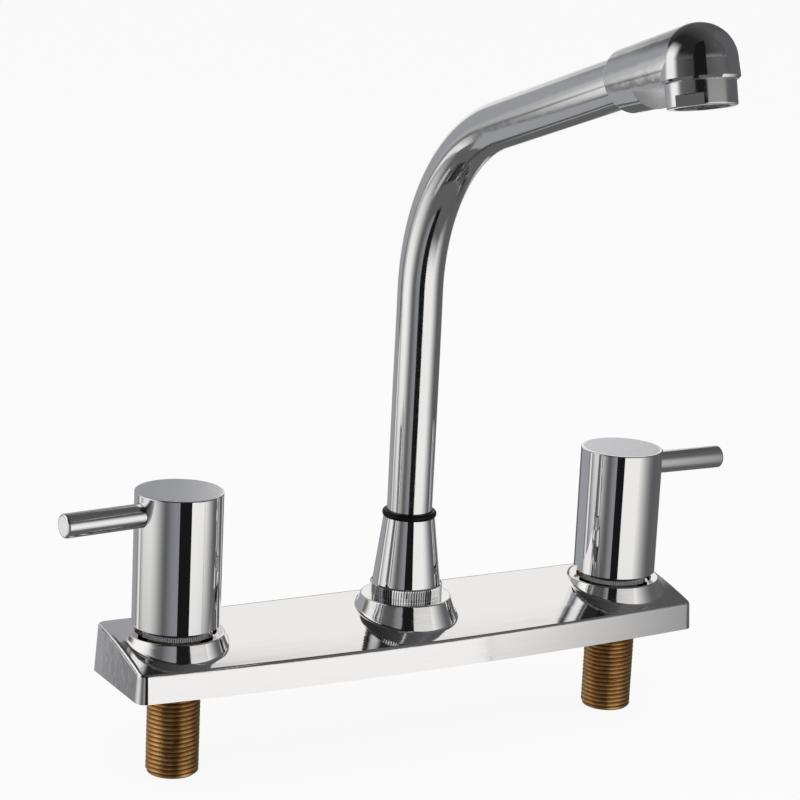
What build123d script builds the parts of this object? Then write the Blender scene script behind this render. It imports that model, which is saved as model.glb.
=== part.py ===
from build123d import *
import os
from math import cos, radians, sin, tan

os.makedirs("parts", exist_ok=True)

# Two handle kitchen faucet with a swivelling high spout, in millimetres.
# Frame: origin on the sink deck, on the spout's swivel axis. +X is to the user's right,
# -Y points at the user over the basin, +Z is up. Z = 0 is the deck.

# ---------------------------------------------------------------- driving dimensions
valve_spacing = 203.2          # centre to centre of the two inlet shanks, eight inches

# Clearances
running_gap = 0.05             # shafts and swivels, on the radius
press_gap = 0.02               # brazed, pressed and screwed pieces of one body, on the radius
thrust_gap = 0.10              # flat faces that slide over each other
body_gap = 0.35                # pieces that move past each other without touching

# Deck plate
plate_end_reach = 25.5         # from a valve axis to the end of the plate, at the deck
plate_back = 22.3              # from the valve line to the back edge, at the deck
plate_front_end = 24.3         # from the valve line to the front edge, at the two ends
plate_front_middle = 29.6      # the same at the middle, where the front bows out
plate_corner_radius = 4.0
plate_draft = 4.0              # degrees
plate_wall = 1.6
plate_back_height = 19.75      # height of the crowned top at the back edge
plate_axis_height = 16.75      # over the valve line
plate_front_height = 10.8      # at the front edge
plate_edge_radius = 1.6

# Bosses of the deck plate
handle_boss_rim = 19.0
handle_boss_height = 19.5
handle_cup_radius = 15.9       # recess inside the rim, under the handle
handle_cup_floor = 14.4
spout_boss_rim = 18.2
spout_boss_height = 22.8
boss_draft = 20.0              # degrees
boss_root = 7.0
boss_blend = 1.5
boss_edge = 0.7                # rounding of the rims
spout_boss_top = 2.0           # thickness of metal under the spout nut

# Waterway under the plate
shank_radius = 10.4            # G 1/2 male thread, over the crests
shank_length = 38.0
shank_bore = 7.0
shank_spigot = 9.4             # plain end of the shank, brazed into the valve body
shank_spigot_height = 3.2
foot_radius = 15.0
foot_height = 3.0
barrel_radius = 13.5
chamber_floor = 4.5
chamber_radius = 8.4
inlet_radius = 4.2
neck_radius = 11.0
neck_height = 20.6
thread_radius = 9.0            # M18 cartridge thread
thread_start = 15.0
neck_ring_section = 1.1        # O-ring under the cartridge's hexagon
shank_chamfer = 0.8
crossover_height = 6.35
crossover_radius = 5.0
crossover_wall = 0.8
socket_radius = 6.2
socket_depth = 6.0
socket_reach = 19.0            # from a valve axis or the spout axis to the socket's mouth

# Knurled lock ring round each valve neck
lock_ring_radius = 12.9
lock_ring_height = 6.0
lock_ring_teeth = 90
lock_ring_bevel = 0.4
knurl_depth = 0.35

# Quarter turn cartridge
bonnet_barrel = 7.8
bonnet_bore = 6.6
bonnet_bottom = 5.0
bonnet_ceiling = 14.4
window_bottom = 9.2
bonnet_hex = 20.0              # across flats
bonnet_hex_height = 4.0
bonnet_neck = 6.0
bonnet_top = 34.0
window_width = 6.0
disc_thickness = 2.5
disc_port_inner = 1.7
disc_port_outer = 5.3
disc_port_angle = 70.0
seat_seal_height = 2.1
stem_radius = 4.0
stem_top = 56.0
driver_radius = 6.3
driver_height = 2.2
tongue_width = 2.3
tongue_height = 1.1
stem_chamfer = 0.4
stem_ring_section = 1.3        # thickness of the stem's O-rings
stem_ring_heights = (17.5, 21.5)
clip_radius = 6.2
clip_groove = 3.2
clip_mouth = 5.0
clip_thickness = 0.8
spline_teeth = 20
spline_depth = 0.4
spline_start = 37.5

# Handles
handle_radius = 17.1
handle_bottom = 22.5
handle_top = 75.2
handle_edge = 0.5
handle_wall = 2.6
handle_ceiling = 56.6
handle_hub_radius = 7.6
handle_hub_bottom = 37.0
lever_radius = 4.7
lever_end = 49.6               # from the valve axis to the lever's free end
lever_height = 67.2
lever_end_round = 1.0
lever_seat_depth = 1.2
stud_radius = 3.0
stud_end = 6.5                 # from the valve axis to the stud's inner end
hot_lever_angle = 186.0        # closed position of each lever, in degrees from +X
cold_lever_angle = -1.0
grub_radius = 2.5
grub_height = 47.0
grub_length = 7.0
grub_socket_flats = 2.5
grub_socket_depth = 2.0
grub_boss_radius = 4.2

# Spout foot
hub_barrel = 14.0
hub_foot_radius = 16.0
hub_floor = 1.8
hub_chamber_top = 16.0
hub_chamber_radius = 8.0
hub_neck_radius = 13.2
hub_neck_top = 27.0
swivel_bore = 11.5
nut_band_radius = 14.6
nut_band_height = 4.8
nut_bevel = 0.6
nut_shoulder_radius = 13.7
nut_teeth = 88
nut_top_radius = 10.3
nut_top = 55.4
nut_ceiling = 29.5
nut_ceiling_radius = 12.0
nut_taper_top = 50.0
guide_ring_radius = 10.9
guide_ring_height = 2.6
guide_ring_round = 1.1

# Spout
tube_radius = 9.1
tube_wall = 1.0
tube_bottom = 16.2
bend_radius = 76.0
arm_rise = 17.6                # degrees above level
arm_corner_height = 202.8      # where the column's and the arm's axes would meet
arm_length = 181.4             # from that corner to the outlet axis
outlet_lean = 13.8             # degrees from upright, towards the user
collar_flange_radius = 12.9
collar_flange_height = 1.3
spout_ring_section = 1.5
spout_ring_heights = (19.4, 23.6)
thrust_washer_height = 1.0

# Spout nose, measured from the meeting point of the arm axis and the outlet axis
nose_mouth = 40.0              # back along the arm to the nose's mouth
nose_mouth_radius = 11.3
nose_mouth_drop = 0.4          # its middle, below the arm axis
nose_mouth_edge = 0.8
nose_ball_radius = 12.9
nose_ball_drop = 1.9
nose_rim_radius = 13.3
nose_rim_drop = 8.5            # the faced rim, below the meeting point
nose_rim_bevel = 0.9
nose_wall_back = 24.5          # back to the straight wall under the sleeve
nose_tube_stop = 27.5          # back to the end of the tube
nose_bore = 5.2
outlet_bore = 8.0
spigot_radius = 10.9           # M22 male thread for the aerator
spigot_length = 4.2

# Aerator
aerator_radius = 11.8
aerator_bottom = 16.9          # below the meeting point
aerator_gap = 0.4              # shadow line under the nose's rim
aerator_edge = 0.5
aerator_seat = 10.0            # bore that holds the insert's flange and the washer
aerator_opening = 9.3
aerator_flat_height = 3.9
aerator_flat_width = 21.4      # across the two wrench flats
aerator_flat_angle = 57.0      # degrees from the arm's direction towards -X
insert_flange = 0.8
insert_sink = 0.4              # the insert's face stands this far inside the lip
insert_slots = 18
insert_slot_width = 1.1
insert_slot_length = 2.4
insert_slot_ring = 7.4
insert_holes = 7
insert_hole = 1.5
insert_hole_ring = 4.2
screen_radius = 7.8
screen_thickness = 0.4
screen_pitch = 2.4
screen_hole = 0.8
washer_inner = 8.0
washer_height = 1.5

# ---------------------------------------------------------------- derived places
half_spacing = valve_spacing / 2
plate_half_length = half_spacing + plate_end_reach
SIDES = (("hot", -half_spacing, hot_lever_angle), ("cold", half_spacing, cold_lever_angle))

arm_direction = Vector(0, -cos(radians(arm_rise)), sin(radians(arm_rise)))
outlet_up = Vector(0, sin(radians(outlet_lean)), cos(radians(outlet_lean)))
arm_corner = Vector(0, 0, arm_corner_height)
elbow_point = arm_corner + arm_direction * arm_length
cup_underside = handle_cup_floor - plate_wall


def upright(x):
    """The vertical plane through the axis at x: local x is the radius, local y the height."""
    return Plane((x, 0, 0), x_dir=(1, 0, 0), z_dir=(0, -1, 0))


def level(x, height):
    """The level plane at a height, centred on the axis at x."""
    return Plane((x, 0, height))


def vertical_axis(x):
    return Axis((x, 0, 0), (0, 0, 1))


def across_arm(back):
    """The plane square to the arm, a distance back from the elbow point."""
    return Plane(elbow_point - arm_direction * back, x_dir=(1, 0, 0), z_dir=arm_direction)


def across_outlet(drop):
    """The plane square to the outlet axis, a distance below the arm axis."""
    return Plane(elbow_point - outlet_up * drop, x_dir=(1, 0, 0), z_dir=outlet_up)


def outlet_section():
    """The plane of symmetry: local x runs square to the outlet axis to the tip, local y up that axis."""
    return Plane(elbow_point, x_dir=outlet_up.cross(Vector(-1, 0, 0)), z_dir=(-1, 0, 0))


def keep(part, name):
    part.label = name
    export_step(part, f"parts/{name}.step")


def knurl(radius, teeth):
    """V grooves round a circle, for the sketch in hand."""
    half_pitch = radius * sin(radians(180 / teeth))
    groove = [(-knurl_depth, 0), (knurl_depth, -half_pitch), (knurl_depth, half_pitch)]
    with PolarLocations(radius, teeth):
        Polygon(*groove, align=None, mode=Mode.SUBTRACT)


def disc_port():
    """One of the two ports through a ceramic disc, centred on local +X."""
    with BuildSketch(Plane.XY, mode=Mode.PRIVATE) as port:
        with BuildLine():
            far = CenterArc((0, 0), disc_port_outer, -disc_port_angle / 2, disc_port_angle)
            near = CenterArc((0, 0), disc_port_inner, -disc_port_angle / 2, disc_port_angle)
            Line(far @ 0, near @ 0)
            Line(far @ 1, near @ 1)
        make_face()
    return port.sketch


def o_ring(x, height, inner, section):
    """A round section ring about the axis at x, lying over its groove's floor."""
    with BuildPart() as ring:
        with BuildSketch(upright(x)):
            with Locations((inner + section / 2, height)):
                Circle(section / 2)
        revolve(axis=vertical_axis(x))
    return ring.part


# ---------------------------------------------------------------- deck plate
# A die-cast cover, hollow underneath. Its top is crowned, higher at the back, and its front bows out.

def crowned_block(inset):
    """The plate's outer form, or the same form drawn in by a wall on every side but the deck."""
    tool_height = 2 * plate_back_height
    end_station = plate_half_length + plate_corner_radius
    stations = (
        (-end_station, plate_front_end),
        (0, plate_front_middle),
        (end_station, plate_front_end),
    )
    with BuildPart() as block:
        with BuildSketch() as footprint:
            with BuildLine():
                front = ThreePointArc(
                    (-plate_half_length, -plate_front_end),
                    (0, -plate_front_middle),
                    (plate_half_length, -plate_front_end),
                )
                Polyline(
                    front @ 1,
                    (plate_half_length, plate_back),
                    (-plate_half_length, plate_back),
                    front @ 0,
                )
            make_face()
            fillet(footprint.vertices(), plate_corner_radius)
            if inset:
                offset(amount=-inset, mode=Mode.REPLACE)
        extrude(amount=plate_back_height + plate_corner_radius, taper=plate_draft)
        for station, front_edge in stations:
            with BuildSketch(Plane.YZ.offset(station)):
                with BuildLine():
                    crown = ThreePointArc(
                        (plate_back, plate_back_height - inset),
                        (0, plate_axis_height - inset),
                        (-front_edge, plate_front_height - inset),
                    )
                    Polyline(crown @ 1, (-front_edge, tool_height), (plate_back, tool_height), crown @ 0)
                make_face()
        loft(mode=Mode.SUBTRACT)
    return block.part


BOSSES = (
    (-half_spacing, handle_boss_rim, handle_boss_height),
    (0, spout_boss_rim, spout_boss_height),
    (half_spacing, handle_boss_rim, handle_boss_height),
)
boss_flare = tan(radians(boss_draft))

with BuildPart() as deck_plate:
    add(crowned_block(0))
    crown_face = deck_plate.faces().filter_by(GeomType.BSPLINE).sort_by(Axis.Z)[-1]
    fillet(crown_face.edges(), plate_edge_radius)
    # each boss is raised past its rim, blended into the crown, and then faced off level
    for x, rim, height in BOSSES:
        peak = height + rim / 4
        with BuildSketch(upright(x)):
            Polygon(
                (0, boss_root),
                (rim + (height - boss_root) * boss_flare, boss_root),
                (rim + (height - peak) * boss_flare, peak),
                (0, peak),
                align=None,
            )
        revolve(axis=vertical_axis(x))
        rounds = deck_plate.edges(Select.LAST).filter_by(GeomType.CIRCLE, reverse=True)
        fillet(rounds.filter_by(lambda edge: edge.length > 2 * rim), boss_blend)
        with BuildSketch(level(x, height)):
            Circle(rim + boss_blend)
        extrude(amount=peak, mode=Mode.SUBTRACT)
        fillet(deck_plate.edges(Select.LAST).filter_by(GeomType.CIRCLE), boss_edge)
    add(crowned_block(plate_wall), mode=Mode.SUBTRACT)
    # under each handle the boss is a cup whose floor is clamped on the valve body
    for x in (-half_spacing, half_spacing):
        with BuildSketch(level(x, cup_underside)):
            Circle(handle_cup_radius + plate_wall)
        extrude(amount=plate_wall)
        with BuildSketch(level(x, handle_cup_floor)):
            Circle(handle_cup_radius)
        extrude(amount=handle_boss_height, mode=Mode.SUBTRACT)
        with BuildSketch(level(x, 0)):
            Circle(neck_radius + body_gap)
        extrude(amount=handle_boss_height, mode=Mode.SUBTRACT)
        with BuildSketch(level(x, 0)):
            Circle(foot_radius + body_gap)
        extrude(amount=cup_underside, mode=Mode.SUBTRACT)
    # the spout boss is hollow below its top, and the hub's neck comes up through it
    with BuildSketch(level(0, 0)):
        Circle(hub_foot_radius + body_gap)
    extrude(amount=spout_boss_height - spout_boss_top, mode=Mode.SUBTRACT)
    with BuildSketch(level(0, 0)):
        Circle(hub_neck_radius + body_gap)
    extrude(amount=spout_boss_height + spout_boss_top, mode=Mode.SUBTRACT)
keep(deck_plate.part, "deck_plate")


# ---------------------------------------------------------------- waterway
# Brass. The plate's cups are clamped between each valve body's shoulder and its lock ring.


def toward_spout(x):
    """The plane square to the crossover tube, through the axis at x, facing the spout."""
    inward = -1 if x > 0 else 1
    return Plane((x, 0, crossover_height), x_dir=(0, 1, 0), z_dir=(inward, 0, 0))


def build_inlet_shank(side, x):
    """Threaded pipe that goes through the deck; its plain upper end is brazed into the valve body."""
    with BuildPart() as inlet_shank:
        with BuildSketch(upright(x)):
            Polygon(
                (shank_bore, -shank_length),
                (shank_radius, -shank_length),
                (shank_radius, 0),
                (shank_spigot, 0),
                (shank_spigot, shank_spigot_height),
                (shank_bore, shank_spigot_height),
                align=None,
            )
        revolve(axis=vertical_axis(x))
        rims = inlet_shank.edges().filter_by(GeomType.CIRCLE).group_by(Axis.Z)[0]
        chamfer(rims.sort_by(SortBy.RADIUS)[-1], shank_chamfer)
    keep(inlet_shank.part, f"{side}_inlet_shank")


def build_valve_body(side, x):
    """Foot, cartridge chamber and threaded neck in one casting, with a crossover socket."""
    with BuildPart() as valve_body:
        with BuildSketch(upright(x)):
            Polygon(
                (0, 0),
                (foot_radius, 0),
                (foot_radius, foot_height),
                (barrel_radius, foot_height),
                (barrel_radius, cup_underside),
                (neck_radius, cup_underside),
                (neck_radius, neck_height),
                (0, neck_height),
                align=None,
            )
        revolve(axis=vertical_axis(x))
        with BuildSketch(toward_spout(x)):
            Circle(socket_radius)
        extrude(amount=socket_reach)
        ring_seat = neck_height - neck_ring_section - press_gap
        with BuildSketch(upright(x)):
            Polygon(
                (0, 0),
                (shank_spigot + press_gap, 0),
                (shank_spigot + press_gap, shank_spigot_height),
                (inlet_radius, shank_spigot_height),
                (inlet_radius, chamber_floor),
                (chamber_radius, chamber_floor),
                (chamber_radius, thread_start),
                (thread_radius, thread_start),
                (thread_radius, ring_seat),
                (thread_radius + neck_ring_section + press_gap, ring_seat),
                (thread_radius + neck_ring_section + press_gap, neck_height),
                (0, neck_height),
                align=None,
            )
        revolve(axis=vertical_axis(x), mode=Mode.SUBTRACT)
        with BuildSketch(toward_spout(x)):
            Circle(crossover_radius - crossover_wall)
        extrude(amount=socket_reach, mode=Mode.SUBTRACT)
        with BuildSketch(toward_spout(x).offset(socket_reach - socket_depth)):
            Circle(crossover_radius + press_gap)
        extrude(amount=socket_depth, mode=Mode.SUBTRACT)
    keep(valve_body.part, f"{side}_valve_body")


def build_crossover_tube(side, x):
    """Copper tube brazed between a valve body and the spout hub."""
    length = half_spacing - 2 * (socket_reach - socket_depth)
    with BuildPart() as crossover_tube:
        with BuildSketch(toward_spout(x).offset(socket_reach - socket_depth)):
            Circle(crossover_radius)
            Circle(crossover_radius - crossover_wall, mode=Mode.SUBTRACT)
        extrude(amount=length)
    keep(crossover_tube.part, f"{side}_crossover_tube")


def build_lock_ring(side, x):
    """Knurled ring nut that draws the plate's cup down on the valve body."""
    with BuildPart() as lock_ring:
        with BuildSketch(level(x, handle_cup_floor)):
            Circle(lock_ring_radius)
            knurl(lock_ring_radius, lock_ring_teeth)
            Circle(neck_radius + press_gap, mode=Mode.SUBTRACT)
        extrude(amount=lock_ring_height)
        ring_top = handle_cup_floor + lock_ring_height
        with BuildSketch(upright(x)):
            Polygon(
                (0, handle_cup_floor),
                (lock_ring_radius, handle_cup_floor),
                (lock_ring_radius, ring_top - lock_ring_bevel),
                (lock_ring_radius - lock_ring_bevel, ring_top),
                (0, ring_top),
                align=None,
            )
        revolve(axis=vertical_axis(x), mode=Mode.INTERSECT)
    keep(lock_ring.part, f"{side}_lock_ring")


with BuildPart() as spout_hub:
    shoulder = spout_boss_height - spout_boss_top
    with BuildSketch(upright(0)):
        Polygon(
            (0, 0),
            (hub_foot_radius, 0),
            (hub_foot_radius, foot_height),
            (hub_barrel, foot_height),
            (hub_barrel, shoulder),
            (hub_neck_radius, shoulder),
            (hub_neck_radius, hub_neck_top),
            (0, hub_neck_top),
            align=None,
        )
    revolve(axis=vertical_axis(0))
    for x in (-half_spacing, half_spacing):
        with BuildSketch(toward_spout(x).offset(half_spacing - socket_reach)):
            Circle(socket_radius)
        extrude(amount=socket_reach)
    with BuildSketch(upright(0)):
        Polygon(
            (0, hub_floor),
            (hub_chamber_radius, hub_floor),
            (hub_chamber_radius, hub_chamber_top),
            (swivel_bore, hub_chamber_top),
            (swivel_bore, hub_neck_top),
            (0, hub_neck_top),
            align=None,
        )
    revolve(axis=vertical_axis(0), mode=Mode.SUBTRACT)
    for x in (-half_spacing, half_spacing):
        with BuildSketch(toward_spout(x).offset(half_spacing - socket_reach)):
            Circle(crossover_radius - crossover_wall)
        extrude(amount=socket_reach, mode=Mode.SUBTRACT)
        with BuildSketch(toward_spout(x).offset(half_spacing - socket_reach)):
            Circle(crossover_radius + press_gap)
        extrude(amount=socket_depth, mode=Mode.SUBTRACT)
keep(spout_hub.part, "spout_hub")

# ---------------------------------------------------------------- quarter turn cartridges
# The lower ceramic disc stays in the bonnet. The stem turns the upper disc over it by a quarter turn.

fixed_disc_bottom = chamber_floor + seat_seal_height
moving_disc_bottom = fixed_disc_bottom + disc_thickness + running_gap
moving_disc_top = moving_disc_bottom + disc_thickness
driver_bottom = moving_disc_top + running_gap
disc_radius = bonnet_bore - running_gap
stem_ring_inner = stem_radius - stem_ring_section
clip_bottom = bonnet_top + body_gap


def build_bonnet(side, x):
    """Screws into the neck; its barrel holds the discs and its neck guides the stem."""
    with BuildPart() as bonnet:
        with BuildSketch(upright(x)):
            Polygon(
                (bonnet_bore, bonnet_bottom),
                (bonnet_barrel, bonnet_bottom),
                (bonnet_barrel, thread_start),
                (thread_radius - press_gap, thread_start),
                (thread_radius - press_gap, neck_height),
                (bonnet_neck, neck_height),
                (bonnet_neck, bonnet_top),
                (stem_radius + running_gap, bonnet_top),
                (stem_radius + running_gap, bonnet_ceiling),
                (bonnet_bore, bonnet_ceiling),
                align=None,
            )
        revolve(axis=vertical_axis(x))
        with BuildSketch(level(x, neck_height)):
            RegularPolygon(radius=bonnet_hex / 2, side_count=6, major_radius=False)
            Circle(stem_radius + running_gap, mode=Mode.SUBTRACT)
        extrude(amount=bonnet_hex_height)
        with BuildSketch(level(x, window_bottom)):
            Rectangle(2 * chamber_radius, window_width)
        extrude(amount=bonnet_ceiling - window_bottom, mode=Mode.SUBTRACT)
    keep(bonnet.part, f"{side}_bonnet")


def build_cartridge_seals(side, x):
    keep(
        o_ring(x, neck_height - neck_ring_section / 2, thread_radius, neck_ring_section),
        f"{side}_bonnet_o_ring",
    )
    with BuildPart() as seat_seal:
        with BuildSketch(level(x, chamber_floor)):
            Circle(disc_radius)
            Circle(inlet_radius, mode=Mode.SUBTRACT)
        extrude(amount=seat_seal_height)
    keep(seat_seal.part, f"{side}_seat_seal")


def build_discs(side, x):
    with BuildPart() as fixed_disc:
        with BuildSketch(level(x, fixed_disc_bottom)):
            Circle(disc_radius)
            for turn in (0, 180):
                add(disc_port(), rotation=turn, mode=Mode.SUBTRACT)
        extrude(amount=disc_thickness)
    keep(fixed_disc.part, f"{side}_fixed_disc")
    with BuildPart() as moving_disc:
        with BuildSketch(level(x, moving_disc_bottom)):
            Circle(disc_radius)
            for turn in (90, 270):
                add(disc_port(), rotation=turn, mode=Mode.SUBTRACT)
        extrude(amount=disc_thickness)
        with BuildSketch(level(x, moving_disc_top)):
            Rectangle(2 * bonnet_bore, tongue_width + 2 * running_gap)
        extrude(amount=-(tongue_height + running_gap), mode=Mode.SUBTRACT)
    keep(moving_disc.part, f"{side}_moving_disc")


def build_stem(side, x):
    """Driver with its tongue, two O-ring grooves, clip groove and splined head."""
    shaft = [
        (0, driver_bottom),
        (driver_radius, driver_bottom),
        (driver_radius, driver_bottom + driver_height),
        (stem_radius, driver_bottom + driver_height),
    ]
    half_groove = stem_ring_section / 2 + running_gap
    for height in stem_ring_heights:
        shaft += [
            (stem_radius, height - half_groove),
            (stem_ring_inner - press_gap, height - half_groove),
            (stem_ring_inner - press_gap, height + half_groove),
            (stem_radius, height + half_groove),
        ]
    clip_top = clip_bottom + clip_thickness
    shaft += [
        (stem_radius, clip_bottom - running_gap),
        (clip_groove, clip_bottom - running_gap),
        (clip_groove, clip_top + running_gap),
        (stem_radius, clip_top + running_gap),
        (stem_radius, stem_top - stem_chamfer),
        (stem_radius - stem_chamfer, stem_top),
        (0, stem_top),
    ]
    with BuildPart() as stem:
        with BuildSketch(upright(x)):
            Polygon(*shaft, align=None)
        revolve(axis=vertical_axis(x))
        with BuildSketch(level(x, driver_bottom - tongue_height)):
            Circle(driver_radius - running_gap)
            Rectangle(2 * driver_radius, tongue_width, mode=Mode.INTERSECT)
        extrude(amount=tongue_height + driver_height / 2)
        half_tooth = stem_radius * sin(radians(180 / spline_teeth)) * 2 / 3
        with BuildSketch(level(x, spline_start)):
            with PolarLocations(stem_radius, spline_teeth):
                Polygon(
                    (-spline_depth, 0),
                    (spline_depth, -2 * half_tooth),
                    (spline_depth, 2 * half_tooth),
                    align=None,
                )
        extrude(amount=stem_top - spline_start, mode=Mode.SUBTRACT)
    keep(stem.part, f"{side}_stem")


def build_stem_trim(side, x):
    with BuildPart() as stem_o_rings:
        for height in stem_ring_heights:
            add(o_ring(x, height, stem_ring_inner, stem_ring_section))
    keep(stem_o_rings.part, f"{side}_stem_o_rings")
    with BuildPart() as stem_clip:
        with BuildSketch(level(x, clip_bottom)):
            Circle(clip_radius)
            Circle(clip_groove + press_gap, mode=Mode.SUBTRACT)
            with Locations((0, clip_radius)):
                Rectangle(clip_mouth, 2 * clip_radius, mode=Mode.SUBTRACT)
        extrude(amount=clip_thickness)
    keep(stem_clip.part, f"{side}_stem_clip")


# ---------------------------------------------------------------- handles
# Chrome cylinders, hollow from below, each with a screwed-in lever pin and a grub screw behind.

def radial(x, height, angle, distance):
    """The plane square to a horizontal radius of the axis at x, at a distance out along it."""
    outward = Vector(cos(radians(angle)), sin(radians(angle)), 0)
    return Plane(Vector(x, 0, height) + outward * distance, z_dir=outward)


lever_seat = handle_radius - lever_seat_depth
grub_angle = 90.0


def build_handle(side, x, angle):
    cavity_radius = handle_radius - handle_wall
    socket = stem_radius + running_gap
    socket_top = stem_top + running_gap
    with BuildPart() as handle:
        with BuildSketch(upright(x)):
            Polygon(
                (0, socket_top),
                (socket, socket_top),
                (socket, handle_hub_bottom),
                (handle_hub_radius, handle_hub_bottom),
                (handle_hub_radius, handle_ceiling),
                (cavity_radius, handle_ceiling),
                (cavity_radius, handle_bottom),
                (handle_radius, handle_bottom),
                (handle_radius, handle_top),
                (0, handle_top),
                align=None,
            )
        revolve(axis=vertical_axis(x))
        top_edge = handle.edges().filter_by(GeomType.CIRCLE).sort_by(Axis.Z)[-1]
        fillet(top_edge, handle_edge)
        boss_reach = cavity_radius + handle_wall / 2 - stem_radius - running_gap
        with BuildSketch(radial(x, grub_height, grub_angle, socket)):
            Circle(grub_boss_radius)
        extrude(amount=boss_reach)
        with BuildSketch(level(x, handle_hub_bottom)):
            Circle(socket)
        extrude(amount=socket_top - handle_hub_bottom, mode=Mode.SUBTRACT)
        with BuildSketch(radial(x, grub_height, grub_angle, 0)):
            Circle(grub_radius + press_gap)
        extrude(amount=2 * handle_radius, mode=Mode.SUBTRACT)
        with BuildSketch(radial(x, lever_height, angle, lever_seat)):
            Circle(lever_radius + body_gap / 2)
        extrude(amount=2 * lever_seat_depth, mode=Mode.SUBTRACT)
        with BuildSketch(radial(x, lever_height, angle, stud_end - running_gap)):
            Circle(stud_radius + press_gap)
        extrude(amount=handle_radius, mode=Mode.SUBTRACT)
    keep(handle.part, f"{side}_handle")


def build_lever(side, x, angle):
    with BuildPart() as lever:
        with BuildSketch(radial(x, lever_height, angle, stud_end)):
            Circle(stud_radius)
        extrude(amount=lever_seat - stud_end)
        with BuildSketch(radial(x, lever_height, angle, lever_seat)):
            Circle(lever_radius)
        extrude(amount=lever_end - lever_seat)
        reach = Axis((x, 0, lever_height), radial(x, lever_height, angle, 0).z_dir)
        fillet(lever.edges().filter_by(GeomType.CIRCLE).sort_by(reach)[-1], lever_end_round)
    keep(lever.part, f"{side}_lever")


def build_grub_screw(side, x):
    with BuildPart() as grub_screw:
        with BuildSketch(radial(x, grub_height, grub_angle, stem_radius + press_gap)):
            Circle(grub_radius)
        extrude(amount=grub_length)
        with BuildSketch(radial(x, grub_height, grub_angle, stem_radius + press_gap + grub_length)):
            RegularPolygon(radius=grub_socket_flats / 2, side_count=6, major_radius=False)
        extrude(amount=-grub_socket_depth, mode=Mode.SUBTRACT)
    keep(grub_screw.part, f"{side}_grub_screw")


for side, x, lever_angle in SIDES:
    build_inlet_shank(side, x)
    build_valve_body(side, x)
    build_crossover_tube(side, x)
    build_lock_ring(side, x)
    build_bonnet(side, x)
    build_cartridge_seals(side, x)
    build_discs(side, x)
    build_stem(side, x)
    build_stem_trim(side, x)
    build_handle(side, x, lever_angle)
    build_lever(side, x, lever_angle)
    build_grub_screw(side, x)

# ---------------------------------------------------------------- spout foot
# A tapered nut with a knurled band holds the spout's collar down on the hub and lets it swivel.

tube_clear = tube_radius + body_gap
collar_flange_bottom = hub_neck_top + thrust_gap
collar_top = collar_flange_bottom + collar_flange_height
nut_band_top = spout_boss_height + nut_band_height

with BuildPart() as spout_nut:
    with BuildSketch(upright(0)):
        Polygon(
            (hub_neck_radius + press_gap, spout_boss_height),
            (nut_band_radius, spout_boss_height),
            (nut_band_radius, nut_band_top),
            (nut_shoulder_radius, nut_band_top + nut_bevel),
            (nut_top_radius, nut_top),
            (tube_clear, nut_top),
            (tube_clear, nut_taper_top),
            (nut_ceiling_radius, nut_ceiling),
            (hub_neck_radius + press_gap, nut_ceiling),
            align=None,
        )
    revolve(axis=vertical_axis(0))
    with BuildSketch(level(0, spout_boss_height)):
        Circle(nut_band_radius + nut_bevel)
        Circle(nut_band_radius, mode=Mode.SUBTRACT)
        half_pitch = nut_band_radius * sin(radians(180 / nut_teeth))
        with PolarLocations(nut_band_radius, nut_teeth):
            Polygon(
                (-knurl_depth, 0),
                (knurl_depth, -half_pitch * 2),
                (knurl_depth, half_pitch * 2),
                align=None,
            )
    extrude(amount=nut_band_height + nut_bevel, mode=Mode.SUBTRACT)
keep(spout_nut.part, "spout_nut")

with BuildPart() as thrust_washer:
    with BuildSketch(level(0, nut_ceiling - thrust_washer_height)):
        Circle(hub_neck_radius - running_gap)
        Circle(tube_clear, mode=Mode.SUBTRACT)
    extrude(amount=thrust_washer_height)
keep(thrust_washer.part, "spout_thrust_washer")

with BuildPart() as guide_ring:
    with BuildSketch(level(0, nut_top)):
        Circle(guide_ring_radius)
        Circle(tube_radius + running_gap, mode=Mode.SUBTRACT)
    extrude(amount=guide_ring_height)
    rims = guide_ring.edges().filter_by(GeomType.CIRCLE)
    fillet(rims.filter_by(lambda rim: rim.radius > tube_clear), guide_ring_round)
keep(guide_ring.part, "spout_guide_ring")

# ---------------------------------------------------------------- spout
# One bent tube with a brazed collar at its foot, which carries two O-rings in the hub's bore.

bend_tangent = bend_radius * tan(radians((90 - arm_rise) / 2))

with BuildPart() as spout_tube:
    with BuildLine():
        column = Line((0, 0, tube_bottom), arm_corner - Vector(0, 0, bend_tangent))
        bend = TangentArc(column @ 1, arm_corner + arm_direction * bend_tangent, tangent=column % 1)
        Line(bend @ 1, elbow_point - arm_direction * nose_tube_stop)
    with BuildSketch(level(0, tube_bottom)):
        Circle(tube_radius)
        Circle(tube_radius - tube_wall, mode=Mode.SUBTRACT)
    sweep()
keep(spout_tube.part, "spout_tube")

collar_radius = swivel_bore - running_gap * 2
spout_ring_inner = swivel_bore - running_gap - spout_ring_section
half_groove = spout_ring_section / 2 + running_gap
collar_outline = [(tube_radius + press_gap, tube_bottom), (collar_radius, tube_bottom)]
for height in spout_ring_heights:
    collar_outline += [
        (collar_radius, height - half_groove),
        (spout_ring_inner - press_gap, height - half_groove),
        (spout_ring_inner - press_gap, height + half_groove),
        (collar_radius, height + half_groove),
    ]
collar_outline += [
    (collar_radius, collar_flange_bottom),
    (collar_flange_radius, collar_flange_bottom),
    (collar_flange_radius, collar_top),
    (tube_radius + press_gap, collar_top),
]

with BuildPart() as spout_collar:
    with BuildSketch(upright(0)):
        Polygon(*collar_outline, align=None)
    revolve(axis=vertical_axis(0))
keep(spout_collar.part, "spout_collar")

with BuildPart() as spout_o_rings:
    for height in spout_ring_heights:
        add(o_ring(0, height, spout_ring_inner, spout_ring_section))
keep(spout_o_rings.part, "spout_o_rings")

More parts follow.
